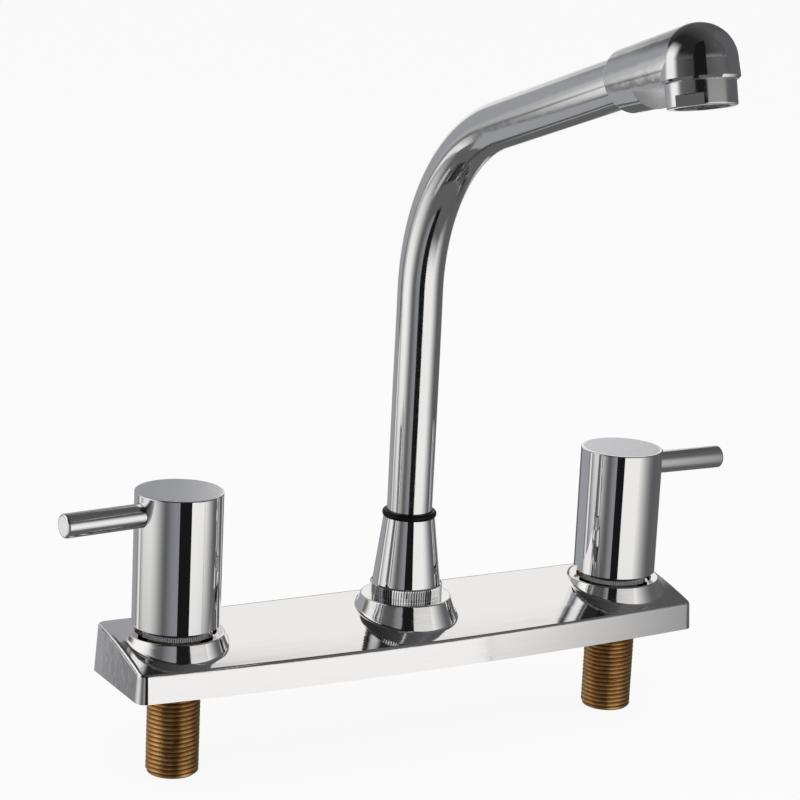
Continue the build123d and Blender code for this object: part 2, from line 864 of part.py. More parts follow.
# ---------------------------------------------------------------- spout nose
# A casting: a sleeve over the tube, swelling into a ball elbow and a short barrel. Its underside is
# faced level with the rim, up to a straight wall, so that the aerator can be turned.

outlet_axis = Axis(elbow_point, outlet_up)
ball_centre = elbow_point - outlet_up * nose_ball_drop

with BuildPart() as spout_nose:
    with BuildSketch(across_arm(nose_mouth)):
        with Locations((0, -nose_mouth_drop)):
            Circle(nose_mouth_radius)
    with BuildSketch(Plane(ball_centre, x_dir=(1, 0, 0), z_dir=arm_direction)):
        Circle(nose_ball_radius)
    loft()
    rims = spout_nose.edges().filter_by(GeomType.CIRCLE)
    fillet(rims.sort_by(Axis(elbow_point, arm_direction))[0], nose_mouth_edge)
    with BuildSketch(Plane(ball_centre, x_dir=arm_direction, z_dir=(-1, 0, 0))):
        with BuildLine():
            tip = CenterArc((0, 0), nose_ball_radius, 0, 90)
            Polyline(tip @ 1, (0, 0), tip @ 0)
        make_face()
    revolve(axis=Axis(ball_centre, arm_direction))
    with BuildSketch(outlet_section()):
        Polygon(
            (0, -nose_ball_drop),
            (nose_ball_radius, -nose_ball_drop),
            (nose_rim_radius, nose_rim_bevel - nose_rim_drop),
            (nose_rim_radius - nose_rim_bevel, -nose_rim_drop),
            (0, -nose_rim_drop),
            align=None,
        )
    revolve(axis=outlet_axis)
    with BuildSketch(across_outlet(nose_rim_drop)):
        with Locations((0, nose_wall_back)):
            Rectangle(nose_mouth, 2 * nose_mouth, align=(Align.CENTER, Align.MAX))
    extrude(amount=-nose_mouth, mode=Mode.SUBTRACT)
    with BuildSketch(across_outlet(nose_rim_drop)):
        Circle(spigot_radius)
    extrude(amount=-spigot_length)
    with BuildSketch(across_arm(nose_mouth)):
        Circle(tube_radius + press_gap)
    extrude(amount=nose_mouth - nose_tube_stop, mode=Mode.SUBTRACT)
    with BuildSketch(across_arm(nose_tube_stop)):
        Circle(nose_bore)
    extrude(amount=nose_tube_stop, mode=Mode.SUBTRACT)
    with BuildSketch(across_outlet(nose_rim_drop + spigot_length)):
        Circle(outlet_bore)
    extrude(amount=nose_rim_drop + spigot_length, mode=Mode.SUBTRACT)
    with Locations(elbow_point):
        Sphere(outlet_bore, mode=Mode.SUBTRACT)
keep(spout_nose.part, "spout_nose")

# ---------------------------------------------------------------- aerator
# Screws on the nose's spigot. A plastic insert lies on its lip, with a screen and a washer above.

spigot_end = nose_rim_drop + spigot_length
insert_top = spigot_end + washer_height
ledge = insert_top + insert_flange

with BuildPart() as aerator_housing:
    with BuildSketch(outlet_section()):
        Polygon(
            (spigot_radius + press_gap, -(nose_rim_drop + aerator_gap)),
            (aerator_radius, -(nose_rim_drop + aerator_gap)),
            (aerator_radius, -aerator_bottom),
            (aerator_opening, -aerator_bottom),
            (aerator_opening, -ledge),
            (aerator_seat, -ledge),
            (aerator_seat, -(spigot_end + aerator_gap)),
            (spigot_radius + press_gap, -(spigot_end + aerator_gap)),
            align=None,
        )
    revolve(axis=outlet_axis)
    rims = aerator_housing.edges().filter_by(GeomType.CIRCLE)
    outer_rims = rims.filter_by(lambda rim: rim.radius > spigot_radius + body_gap)
    fillet(outer_rims.sort_by(outlet_axis)[0], aerator_edge)
    with BuildSketch(across_outlet(aerator_bottom)):
        with PolarLocations(aerator_flat_width / 2, 2, start_angle=270 - aerator_flat_angle):
            Rectangle(aerator_radius, 2 * aerator_radius, align=(Align.MIN, Align.CENTER))
    extrude(amount=aerator_flat_height, mode=Mode.SUBTRACT)
keep(aerator_housing.part, "aerator_housing")

with BuildPart() as aerator_washer:
    with BuildSketch(across_outlet(insert_top)):
        Circle(aerator_seat - press_gap)
        Circle(washer_inner, mode=Mode.SUBTRACT)
    extrude(amount=washer_height)
keep(aerator_washer.part, "aerator_washer")

with BuildPart() as aerator_screen:
    with BuildSketch(across_outlet(insert_top)):
        Circle(screen_radius)
        with HexLocations(screen_pitch / 2, 5, 5):
            Circle(screen_hole, mode=Mode.SUBTRACT)
    extrude(amount=screen_thickness)
keep(aerator_screen.part, "aerator_screen")

with BuildPart() as aerator_insert:
    with BuildSketch(across_outlet(ledge)):
        Circle(aerator_seat - press_gap)
    extrude(amount=insert_flange)
    with BuildSketch(across_outlet(aerator_bottom - insert_sink)):
        Circle(aerator_opening - press_gap)
    extrude(amount=aerator_bottom - insert_sink - ledge)
    with BuildSketch(across_outlet(aerator_bottom)):
        with PolarLocations(insert_slot_ring, insert_slots):
            Rectangle(insert_slot_length, insert_slot_width)
        with PolarLocations(insert_hole_ring, insert_holes):
            Circle(insert_hole / 2)
        Circle(insert_hole)
    extrude(amount=aerator_bottom - insert_top, mode=Mode.SUBTRACT)
keep(aerator_insert.part, "aerator_insert")
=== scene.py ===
import math

import bmesh
import bpy
from mathutils import Matrix, Quaternion, Vector


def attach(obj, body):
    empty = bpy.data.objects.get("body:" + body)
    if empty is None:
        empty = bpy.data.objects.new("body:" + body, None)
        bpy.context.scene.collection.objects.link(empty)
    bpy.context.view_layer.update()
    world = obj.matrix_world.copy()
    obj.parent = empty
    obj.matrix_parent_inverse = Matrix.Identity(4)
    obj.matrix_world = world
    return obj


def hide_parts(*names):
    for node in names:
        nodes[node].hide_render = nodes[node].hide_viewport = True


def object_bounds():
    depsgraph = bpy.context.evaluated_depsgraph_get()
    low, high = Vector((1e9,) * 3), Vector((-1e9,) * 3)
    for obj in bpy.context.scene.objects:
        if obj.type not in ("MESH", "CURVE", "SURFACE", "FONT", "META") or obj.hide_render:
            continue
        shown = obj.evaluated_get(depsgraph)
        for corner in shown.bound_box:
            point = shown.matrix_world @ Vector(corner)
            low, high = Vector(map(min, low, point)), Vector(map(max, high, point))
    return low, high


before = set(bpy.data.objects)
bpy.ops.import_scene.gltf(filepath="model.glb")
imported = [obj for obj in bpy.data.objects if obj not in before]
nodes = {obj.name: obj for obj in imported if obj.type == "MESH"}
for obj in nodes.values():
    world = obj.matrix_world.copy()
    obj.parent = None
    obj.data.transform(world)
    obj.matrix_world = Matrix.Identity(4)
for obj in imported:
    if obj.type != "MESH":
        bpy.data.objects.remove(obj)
scene = bpy.context.scene
cad_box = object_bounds()

# ---------------------------------------------------------------- studio
# A pale floor just under the inlet shanks, soft plain lamps, and the camera at the front left. Polished
# metal only looks like metal when it has something to mirror, so soft boxes, grey walls and a black flag
# stand around the faucet, seen by reflections alone.

def new_object(name, bm, smooth=True):
    mesh = bpy.data.meshes.new(name)
    for face in bm.faces:
        face.smooth = smooth
    bm.to_mesh(mesh)
    bm.free()
    piece = bpy.data.objects.new(name, mesh)
    scene.collection.objects.link(piece)
    return piece


def emptied_tree(owner):
    """The node tree of a material or world that is built from nothing."""
    owner.use_nodes = True
    owner.node_tree.nodes.clear()
    return owner.node_tree


floor_gap = 0.0006
floor_reach = 14.0
floor_bm = bmesh.new()
bmesh.ops.create_grid(floor_bm, x_segments=2, y_segments=2, size=floor_reach)
bmesh.ops.translate(floor_bm, vec=(0, 0, cad_box[0][2] - floor_gap), verts=floor_bm.verts)
floor = new_object("studio_floor", floor_bm, smooth=False)
floor.visible_glossy = False

# the camera sees the floor nearly white, with a trace of its shadows; all else sees plain matt paint
floor_whiteness = 0.9
floor_paint = bpy.data.materials.new("floor_paint")
tree = emptied_tree(floor_paint)
out = tree.nodes.new("ShaderNodeOutputMaterial")
blend = tree.nodes.new("ShaderNodeMixShader")
matte = tree.nodes.new("ShaderNodeBsdfDiffuse")
matte.inputs["Color"].default_value = (0.90, 0.90, 0.90, 1)
white = tree.nodes.new("ShaderNodeEmission")
white.inputs["Color"].default_value = (1, 1, 1, 1)
white.inputs["Strength"].default_value = 1.0
path = tree.nodes.new("ShaderNodeLightPath")
share = tree.nodes.new("ShaderNodeMath")
share.operation = "MULTIPLY"
share.inputs[1].default_value = floor_whiteness
tree.links.new(path.outputs["Is Camera Ray"], share.inputs[0])
tree.links.new(share.outputs[0], blend.inputs["Fac"])
tree.links.new(matte.outputs[0], blend.inputs[1])
tree.links.new(white.outputs[0], blend.inputs[2])
tree.links.new(blend.outputs[0], out.inputs["Surface"])
floor.data.materials.append(floor_paint)

world = bpy.data.worlds.new("studio_air")
scene.world = world
tree = emptied_tree(world)
out = tree.nodes.new("ShaderNodeOutputWorld")
blend = tree.nodes.new("ShaderNodeMixShader")
ambient = tree.nodes.new("ShaderNodeBackground")
ambient.inputs["Color"].default_value = (1, 1, 1, 1)
ambient.inputs["Strength"].default_value = 0.55
backdrop = tree.nodes.new("ShaderNodeBackground")
backdrop.inputs["Color"].default_value = (1, 1, 1, 1)
backdrop.inputs["Strength"].default_value = 1.0
path = tree.nodes.new("ShaderNodeLightPath")
seen = tree.nodes.new("ShaderNodeMath")
seen.operation = "MAXIMUM"
seen_any = tree.nodes.new("ShaderNodeMath")
seen_any.operation = "MAXIMUM"
tree.links.new(path.outputs["Is Camera Ray"], seen.inputs[0])
tree.links.new(path.outputs["Is Glossy Ray"], seen.inputs[1])
tree.links.new(seen.outputs[0], seen_any.inputs[0])
tree.links.new(path.outputs["Is Transmission Ray"], seen_any.inputs[1])
tree.links.new(seen_any.outputs[0], blend.inputs["Fac"])
tree.links.new(ambient.outputs[0], blend.inputs[1])
tree.links.new(backdrop.outputs[0], blend.inputs[2])
tree.links.new(blend.outputs[0], out.inputs["Surface"])


def mirror_only(piece, glow):
    """A glowing thing that shows in reflections and nowhere else, and that lights nothing."""
    glow.cycles.emission_sampling = "NONE"
    piece.data.materials.append(glow)
    piece.visible_camera = False
    piece.visible_diffuse = False
    piece.visible_shadow = False


def card(name, start, end, low, high, tone, soft_start=0, soft_end=0, soft_low=0, soft_high=0):
    """An upright card between two places on the floor plan, its edges fading out over the given widths."""
    start, end = Vector((*start, 0)), Vector((*end, 0))
    length, height = (end - start).length, high - low
    along = (end - start) / length
    middle = (start + end) / 2 + Vector((0, 0, low + height / 2))
    shape = Matrix((
        (along.x * length, 0, -along.y, middle.x),
        (along.y * length, 0, along.x, middle.y),
        (0, height, 0, middle.z),
        (0, 0, 0, 1),
    ))
    bm = bmesh.new()
    bmesh.ops.create_grid(bm, x_segments=1, y_segments=1, size=0.5, matrix=shape)
    paper = new_object(name, bm, smooth=False)
    glow = bpy.data.materials.new(name + "_glow")
    tree = emptied_tree(glow)
    out = tree.nodes.new("ShaderNodeOutputMaterial")
    light = tree.nodes.new("ShaderNodeEmission")
    # white card looks a little warm in the lamp light, grey card a little cool
    hue = (1.0, 0.985, 0.965) if tone > 0.5 else (0.98, 0.985, 1.035)
    light.inputs["Color"].default_value = (*(tone * share for share in hue), 1)
    surface = light
    place = tree.nodes.new("ShaderNodeTexCoord")
    edges = (
        (along, start.dot(along), soft_start), (along, end.dot(along), -soft_end),
        (Vector((0, 0, 1)), low, soft_low), (Vector((0, 0, 1)), high, -soft_high),
    )
    for direction, edge, width in edges:
        if not width:
            continue
        measure = tree.nodes.new("ShaderNodeVectorMath")
        measure.operation = "DOT_PRODUCT"
        measure.inputs[1].default_value = direction
        fade = tree.nodes.new("ShaderNodeMapRange")
        fade.interpolation_type = "SMOOTHSTEP"
        fade.inputs["From Min"].default_value = edge
        fade.inputs["From Max"].default_value = edge + width
        gap = tree.nodes.new("ShaderNodeBsdfTransparent")
        blend = tree.nodes.new("ShaderNodeMixShader")
        tree.links.new(place.outputs["Object"], measure.inputs[0])
        tree.links.new(measure.outputs["Value"], fade.inputs["Value"])
        tree.links.new(fade.outputs[0], blend.inputs["Fac"])
        tree.links.new(gap.outputs[0], blend.inputs[1])
        tree.links.new(surface.outputs[0], blend.inputs[2])
        surface = blend
    tree.links.new(surface.outputs[0], out.inputs["Surface"])
    mirror_only(paper, glow)


card("front_soft_box", (-0.30, -0.70), (0.80, -0.70), -0.68, 0.60, 0.94,
     soft_end=0.25, soft_low=0.56, soft_high=0.52)
card("right_diffuser", (0.20, -0.30), (0.292, -0.07), -0.22, 0.26, 0.94,
     soft_end=0.288, soft_low=0.20, soft_high=0.16)
card("right_dark_card", (0.205, -0.31), (0.33, -0.03), -0.6, 0.7, 0.115)
card("black_flag", (-0.235, -0.34), (-0.05, -0.34), -0.6, 0.7, 0.010)
card("left_grey_card", (-0.60, -0.34), (-0.235, -0.34), -0.5, 0.28, 0.27, soft_start=0.34, soft_high=0.06)
card("left_strip_light", (-0.45, -0.24), (-0.45, 0.44), -0.34, 0.14, 0.98,
     soft_start=0.31, soft_end=0.26, soft_low=0.42, soft_high=0.03)
card("left_window", (-0.43, -0.09), (-0.26, 0.43), 0.05, 0.66, 0.97,
     soft_start=0.16, soft_end=0.22, soft_low=0.09, soft_high=0.32)
card("left_low_card", (-0.54, 0.43), (-0.325, 0.43), -0.30, 0.02, 0.85,
     soft_start=0.04, soft_end=0.13, soft_high=0.03)
card("rear_grey_card", (-0.37, 0.46), (0.12, 0.46), -0.6, 0.50, 0.35, soft_start=0.04, soft_high=0.1)
card("rear_backdrop", (0.003, 0.22), (0.36, 0.22), 0.05, 0.46, 0.89,
     soft_start=0.035, soft_end=0.08, soft_low=0.05, soft_high=0.23)
card("rear_low_card", (0.40, 0.44), (0.72, 0.44), -0.30, -0.09, 0.60,
     soft_start=0.08, soft_end=0.16, soft_high=0.02)

# behind the cards the room is dark grey, and darkest overhead
room_radius = 1.6
room_depth = 3.2
room_middle = 0.4
room_bm = bmesh.new()
bmesh.ops.create_cone(
    room_bm, cap_ends=True, segments=48, radius1=room_radius, radius2=room_radius, depth=room_depth,
)
bmesh.ops.translate(room_bm, vec=(0, 0, room_middle), verts=room_bm.verts)
room = new_object("dark_room", room_bm)
room_grey = bpy.data.materials.new("room_grey")
tree = emptied_tree(room_grey)
out = tree.nodes.new("ShaderNodeOutputMaterial")
light = tree.nodes.new("ShaderNodeEmission")
place = tree.nodes.new("ShaderNodeTexCoord")
split = tree.nodes.new("ShaderNodeSeparateXYZ")
rise = tree.nodes.new("ShaderNodeMapRange")
rise.interpolation_type = "SMOOTHSTEP"
rise.inputs["From Min"].default_value = 0.35
rise.inputs["From Max"].default_value = 1.10
sides = tree.nodes.new("ShaderNodeMapRange")
sides.inputs["From Min"].default_value = -0.8
sides.inputs["From Max"].default_value = 0.8
sides.inputs["To Min"].default_value = 0.02
sides.inputs["To Max"].default_value = 0.09
wall = tree.nodes.new("ShaderNodeMix")
wall.data_type = "FLOAT"
wall.inputs["A"].default_value = 0.12
tree.links.new(place.outputs["Object"], split.inputs[0])
tree.links.new(split.outputs["Z"], rise.inputs["Value"])
tree.links.new(split.outputs["X"], sides.inputs["Value"])
tree.links.new(rise.outputs[0], wall.inputs["Factor"])
tree.links.new(sides.outputs[0], wall.inputs["B"])
tree.links.new(wall.outputs["Result"], light.inputs["Color"])
tree.links.new(light.outputs[0], out.inputs["Surface"])
mirror_only(room, room_grey)


def lamp(name, place, size, power):
    light = bpy.data.lights.new(name, "AREA")
    light.shape = "SQUARE"
    light.size = size
    light.energy = power
    holder = bpy.data.objects.new(name, light)
    holder.location = place
    holder.rotation_euler = Vector(place).to_track_quat("Z", "Y").to_euler()
    holder.visible_glossy = False
    scene.collection.objects.link(holder)


lamp("key_lamp", (-0.9, -1.1, 1.3), 1.2, 9.0)
lamp("fill_lamp", (1.2, -0.8, 0.9), 1.4, 5.0)

camera_data = bpy.data.cameras.new("camera")
camera_data.lens = 114.43
camera_data.sensor_width = 36.0
camera_data.clip_end = 60.0
camera = bpy.data.objects.new("camera", camera_data)
scene.collection.objects.link(camera)
camera_target = Vector((-0.0068, 0, 0.1035))
camera_distance = 1.0073
bearing = math.radians(-29.87)
elevation = math.radians(13.14)
lean = Quaternion((0, 0, 1), math.radians(2.73))
toward_camera = Vector((
    math.sin(bearing) * math.cos(elevation),
    -math.cos(bearing) * math.cos(elevation),
    math.sin(elevation),
))
camera.location = camera_target + toward_camera * camera_distance
camera.rotation_mode = "QUATERNION"
camera.rotation_quaternion = toward_camera.to_track_quat("Z", "Y") @ lean
scene.camera = camera
scene.view_settings.view_transform = "Standard"

# ---------------------------------------------------------------- inlet shanks
# Brass pipes with a G 1/2 thread cut along their whole length, brown with handling and cutting oil. Each
# is brazed into its valve body and hangs below the deck, where the supply nut screws on.

thread_pitch = 0.001814
thread_crest = 0.0104
thread_root = 0.00935
shank_bore = 0.007
shank_end = -0.038
shank_lead = 0.0008
half_spacing = 0.1016


def threaded_shank(name, x):
    """A pipe whose thread profile is spun up the axis, cut off at both ends and closed onto the bore."""
    bm = bmesh.new()
    turns = int(-shank_end / thread_pitch) + 4
    profile = ((0.0, thread_root), (0.12, thread_root), (0.45, thread_crest), (0.67, thread_crest))
    chain = []
    for turn in range(turns):
        for share, radius in profile:
            chain.append(bm.verts.new((radius, 0, shank_end + (turn + share - 2) * thread_pitch)))
    edges = [bm.edges.new(pair) for pair in zip(chain, chain[1:])]
    steps = 96
    bmesh.ops.spin(
        bm, geom=chain + edges, cent=(0, 0, 0), axis=(0, 0, 1), dvec=(0, 0, thread_pitch / steps),
        angle=math.tau, steps=steps, use_merge=False,
    )
    bmesh.ops.remove_doubles(bm, verts=bm.verts, dist=1e-6)
    for height, side in ((shank_end, -1), (0.0, 1)):
        bmesh.ops.bisect_plane(
            bm, geom=bm.verts[:] + bm.edges[:] + bm.faces[:], plane_co=(0, 0, height),
            plane_no=(0, 0, side), clear_outer=True,
        )
    # the lower end is turned down a little, so that the nut starts easily
    for vert in bm.verts:
        limit = thread_crest - shank_lead + (vert.co.z - shank_end)
        reach = math.hypot(vert.co.x, vert.co.y)
        if reach > limit:
            vert.co.x *= limit / reach
            vert.co.y *= limit / reach
    # both ends are faced in to the bore
    rims = [edge for edge in bm.edges if edge.is_boundary]
    grown = bmesh.ops.extrude_edge_only(bm, edges=rims)["geom"]
    inner = [part for part in grown if isinstance(part, bmesh.types.BMVert)]
    for vert in inner:
        reach = math.hypot(vert.co.x, vert.co.y)
        vert.co.x *= shank_bore / reach
        vert.co.y *= shank_bore / reach
    lower = [edge for edge in bm.edges if edge.is_boundary and edge.verts[0].co.z < shank_end / 2]
    upper = [edge for edge in bm.edges if edge.is_boundary and edge.verts[0].co.z > shank_end / 2]
    bmesh.ops.bridge_loops(bm, edges=lower + upper)
    bmesh.ops.recalc_face_normals(bm, faces=bm.faces)
    bmesh.ops.translate(bm, vec=(x, 0, 0), verts=bm.verts)
    return new_object(name, bm)


def new_finish(name):
    """A new material with its node tree, its shader and the object coordinates for its patterns."""
    finish = bpy.data.materials.new(name)
    finish.use_nodes = True
    tree = finish.node_tree
    return finish, tree, tree.nodes["Principled BSDF"], tree.nodes.new("ShaderNodeTexCoord")


def axis_distance(tree, place, x):
    """How far each point of the surface lies from the upright axis at x."""
    centre = tree.nodes.new("ShaderNodeMapping")
    centre.inputs["Location"].default_value = (-x, 0, 0)
    centre.inputs["Scale"].default_value = (1, 1, 0)
    reach = tree.nodes.new("ShaderNodeVectorMath")
    reach.operation = "LENGTH"
    tree.links.new(place.outputs["Object"], centre.inputs["Vector"])
    tree.links.new(centre.outputs[0], reach.inputs[0])
    return reach.outputs["Value"]


def thread_brass(name, x):
    """Brown brass, darker in the thread's roots, where an oxide brown and painted shade lie together."""
    finish, tree, shader, place = new_finish(name)
    shader.inputs["Metallic"].default_value = 1.0
    depth = tree.nodes.new("ShaderNodeMapRange")
    depth.inputs["From Min"].default_value = thread_root
    depth.inputs["From Max"].default_value = thread_crest
    stain = tree.nodes.new("ShaderNodeTexNoise")
    stain.inputs["Scale"].default_value = 240.0
    stain.inputs["Detail"].default_value = 6.0
    bright = tree.nodes.new("ShaderNodeValToRGB")
    bright.color_ramp.elements[0].color = (0.68, 0.33, 0.11, 1)
    bright.color_ramp.elements[0].position = 0.32
    bright.color_ramp.elements[1].color = (0.96, 0.60, 0.22, 1)
    bright.color_ramp.elements[1].position = 0.62
    colour = tree.nodes.new("ShaderNodeMix")
    colour.data_type = "RGBA"
    # the root tone is partly oxide and partly painted shade, laid on by distance from the axis
    colour.inputs["A"].default_value = (0.24, 0.095, 0.035, 1)
    tree.links.new(axis_distance(tree, place, x), depth.inputs["Value"])
    tree.links.new(place.outputs["Object"], stain.inputs["Vector"])
    tree.links.new(stain.outputs["Fac"], bright.inputs["Fac"])
    tree.links.new(depth.outputs[0], colour.inputs["Factor"])
    tree.links.new(bright.outputs["Color"], colour.inputs["B"])
    tree.links.new(colour.outputs["Result"], shader.inputs["Base Color"])
    rough = tree.nodes.new("ShaderNodeMapRange")
    rough.inputs["To Min"].default_value = 0.20
    rough.inputs["To Max"].default_value = 0.42
    tree.links.new(stain.outputs["Fac"], rough.inputs["Value"])
    tree.links.new(rough.outputs[0], shader.inputs["Roughness"])
    grain = tree.nodes.new("ShaderNodeTexNoise")
    grain.inputs["Scale"].default_value = 1800.0
    bump = tree.nodes.new("ShaderNodeBump")
    bump.inputs["Strength"].default_value = 0.4
    bump.inputs["Distance"].default_value = 0.0003
    tree.links.new(place.outputs["Object"], grain.inputs["Vector"])
    tree.links.new(grain.outputs["Fac"], bump.inputs["Height"])
    tree.links.new(bump.outputs[0], shader.inputs["Normal"])
    return finish


for side, x in (("hot", -half_spacing), ("cold", half_spacing)):
    shank = threaded_shank(side + "_threaded_shank", x)
    shank.data.materials.append(thread_brass(side + "_thread_brass", x))
    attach(shank, "base")
    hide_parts(side + "_inlet_shank")

# ---------------------------------------------------------------- waterway under the plate
# The valve bodies and the spout hub are sand-cast brass with turned bores; drawn copper tubes are brazed
# between them. None of it shows once the faucet is on its sink.

def metal(name, colour, roughness, grain_scale, grain_depth, streak=(1, 1, 1), tarnish=0.0):
    """A bare metal with fine grain, its roughness and colour uneven at a small scale."""
    finish, tree, shader, place = new_finish(name)
    shader.inputs["Metallic"].default_value = 1.0
    stretch = tree.nodes.new("ShaderNodeMapping")
    stretch.inputs["Scale"].default_value = streak
    grain = tree.nodes.new("ShaderNodeTexNoise")
    grain.inputs["Scale"].default_value = grain_scale
    grain.inputs["Detail"].default_value = 5.0
    bump = tree.nodes.new("ShaderNodeBump")
    bump.inputs["Strength"].default_value = 0.5
    bump.inputs["Distance"].default_value = grain_depth
    blotch = tree.nodes.new("ShaderNodeTexNoise")
    blotch.inputs["Scale"].default_value = 60.0
    blotch.inputs["Detail"].default_value = 4.0
    rough = tree.nodes.new("ShaderNodeMapRange")
    rough.inputs["To Min"].default_value = roughness * 0.7
    rough.inputs["To Max"].default_value = roughness * 1.3
    tint = tree.nodes.new("ShaderNodeMapRange")
    tint.inputs["To Min"].default_value = 1.0
    tint.inputs["To Max"].default_value = 1.0 - tarnish
    shade = tree.nodes.new("ShaderNodeMix")
    shade.data_type = "RGBA"
    shade.blend_type = "MULTIPLY"
    shade.inputs["Factor"].default_value = 1.0
    shade.inputs["A"].default_value = (*colour, 1)
    tree.links.new(place.outputs["Object"], stretch.inputs["Vector"])
    tree.links.new(stretch.outputs[0], grain.inputs["Vector"])
    tree.links.new(grain.outputs["Fac"], bump.inputs["Height"])
    tree.links.new(bump.outputs[0], shader.inputs["Normal"])
    tree.links.new(place.outputs["Object"], blotch.inputs["Vector"])
    tree.links.new(blotch.outputs["Fac"], rough.inputs["Value"])
    tree.links.new(rough.outputs[0], shader.inputs["Roughness"])
    tree.links.new(blotch.outputs["Fac"], tint.inputs["Value"])
    tree.links.new(tint.outputs[0], shade.inputs["B"])
    tree.links.new(shade.outputs["Result"], shader.inputs["Base Color"])
    return finish


def finish_node(name, finish):
    """Give a carried-over solid its material."""
    nodes[name].data.materials.clear()
    nodes[name].data.materials.append(finish)


def plated_and_shaded_above(finish, height):
    """The same metal, plated where it stands above the plate's cups, the plating painted dark for the shade
    in the gap under the handle.
    """
    tree = finish.node_tree
    shader = tree.nodes["Principled BSDF"]
    bare = shader.inputs["Base Color"].links[0].from_socket
    place = tree.nodes.new("ShaderNodeTexCoord")
    split = tree.nodes.new("ShaderNodeSeparateXYZ")
    above = tree.nodes.new("ShaderNodeMath")
    above.operation = "GREATER_THAN"
    above.inputs[1].default_value = height
    plating_and_shade = tree.nodes.new("ShaderNodeMix")
    plating_and_shade.data_type = "RGBA"
    # painted shade: the plated neck gets a near-black tone for the shade it stands in under the handle
    plating_and_shade.inputs["B"].default_value = (0.16, 0.155, 0.15, 1)
    tree.links.new(place.outputs["Object"], split.inputs[0])
    tree.links.new(split.outputs["Z"], above.inputs[0])
    tree.links.new(above.outputs[0], plating_and_shade.inputs["Factor"])
    tree.links.new(bare, plating_and_shade.inputs["A"])
    tree.links.new(plating_and_shade.outputs["Result"], shader.inputs["Base Color"])
    return finish


shaded_plating_line = 0.0145
sand_cast = ((0.72, 0.53, 0.25), 0.42, 900, 0.00025)
cast_brass = metal("cast_brass", *sand_cast, tarnish=0.35)
body_brass = plated_and_shaded_above(metal("body_brass", *sand_cast, tarnish=0.35), shaded_plating_line)
drawn_copper = metal("drawn_copper", (0.78, 0.42, 0.26), 0.28, 700, 0.00006, streak=(0.08, 1, 1), tarnish=0.3)
finish_node("spout_hub", cast_brass)
for side in ("hot", "cold"):
    finish_node(side + "_valve_body", body_brass)
    finish_node(side + "_crossover_tube", drawn_copper)

# ---------------------------------------------------------------- deck plate
# A zinc casting, ground, buffed along its length and chromed. The sides are bright; the crowned top keeps
# a trace of the buffing, which only shows as faint streaks in what it mirrors.

def chrome(
    name, roughness, wave=0.0, wave_scale=30.0, streak=(1, 1, 1), brush=0.0, tint=(0.86, 0.865, 0.875),
):
    """Bright chrome: polishing haze in its roughness, fine buffing lines and, on castings, slow waves."""
    finish, tree, shader, place = new_finish(name)
    shader.inputs["Metallic"].default_value = 1.0
    shader.inputs["Base Color"].default_value = (*tint, 1)
    stretch = tree.nodes.new("ShaderNodeMapping")
    stretch.inputs["Scale"].default_value = streak
    haze = tree.nodes.new("ShaderNodeTexNoise")
    haze.inputs["Scale"].default_value = 220.0
    haze.inputs["Detail"].default_value = 6.0
    rough = tree.nodes.new("ShaderNodeMapRange")
    rough.inputs["From Min"].default_value = 0.3
    rough.inputs["From Max"].default_value = 0.7
    rough.inputs["To Min"].default_value = roughness * 0.5
    rough.inputs["To Max"].default_value = roughness * 1.5
    tree.links.new(place.outputs["Object"], stretch.inputs["Vector"])
    tree.links.new(stretch.outputs[0], haze.inputs["Vector"])
    tree.links.new(haze.outputs["Fac"], rough.inputs["Value"])
    tree.links.new(rough.outputs[0], shader.inputs["Roughness"])
    lines = tree.nodes.new("ShaderNodeBump")
    lines.inputs["Strength"].default_value = 1.0
    lines.inputs["Distance"].default_value = brush
    swell = tree.nodes.new("ShaderNodeTexNoise")
    swell.inputs["Scale"].default_value = wave_scale
    swell.inputs["Detail"].default_value = 1.0
    waves = tree.nodes.new("ShaderNodeBump")
    waves.inputs["Strength"].default_value = 1.0
    waves.inputs["Distance"].default_value = wave
    tree.links.new(haze.outputs["Fac"], lines.inputs["Height"])
    tree.links.new(place.outputs["Object"], swell.inputs["Vector"])
    tree.links.new(swell.outputs["Fac"], waves.inputs["Height"])
    tree.links.new(lines.outputs[0], waves.inputs["Normal"])
    tree.links.new(waves.outputs[0], shader.inputs["Normal"])
    return finish


finish_node("deck_plate", chrome(
    "plate_chrome", 0.07, wave=0.0002, wave_scale=22.0, streak=(0.07, 1, 1), brush=0.00006,
    tint=(0.93, 0.925, 0.93),
))

# ---------------------------------------------------------------- lock rings
# A knurled ring nut is screwed down over each valve body's neck and holds the plate's cup. Its teeth show
# as bright dots in the gap under the handle.

ring_root = 0.0125
ring_crest = 0.0129


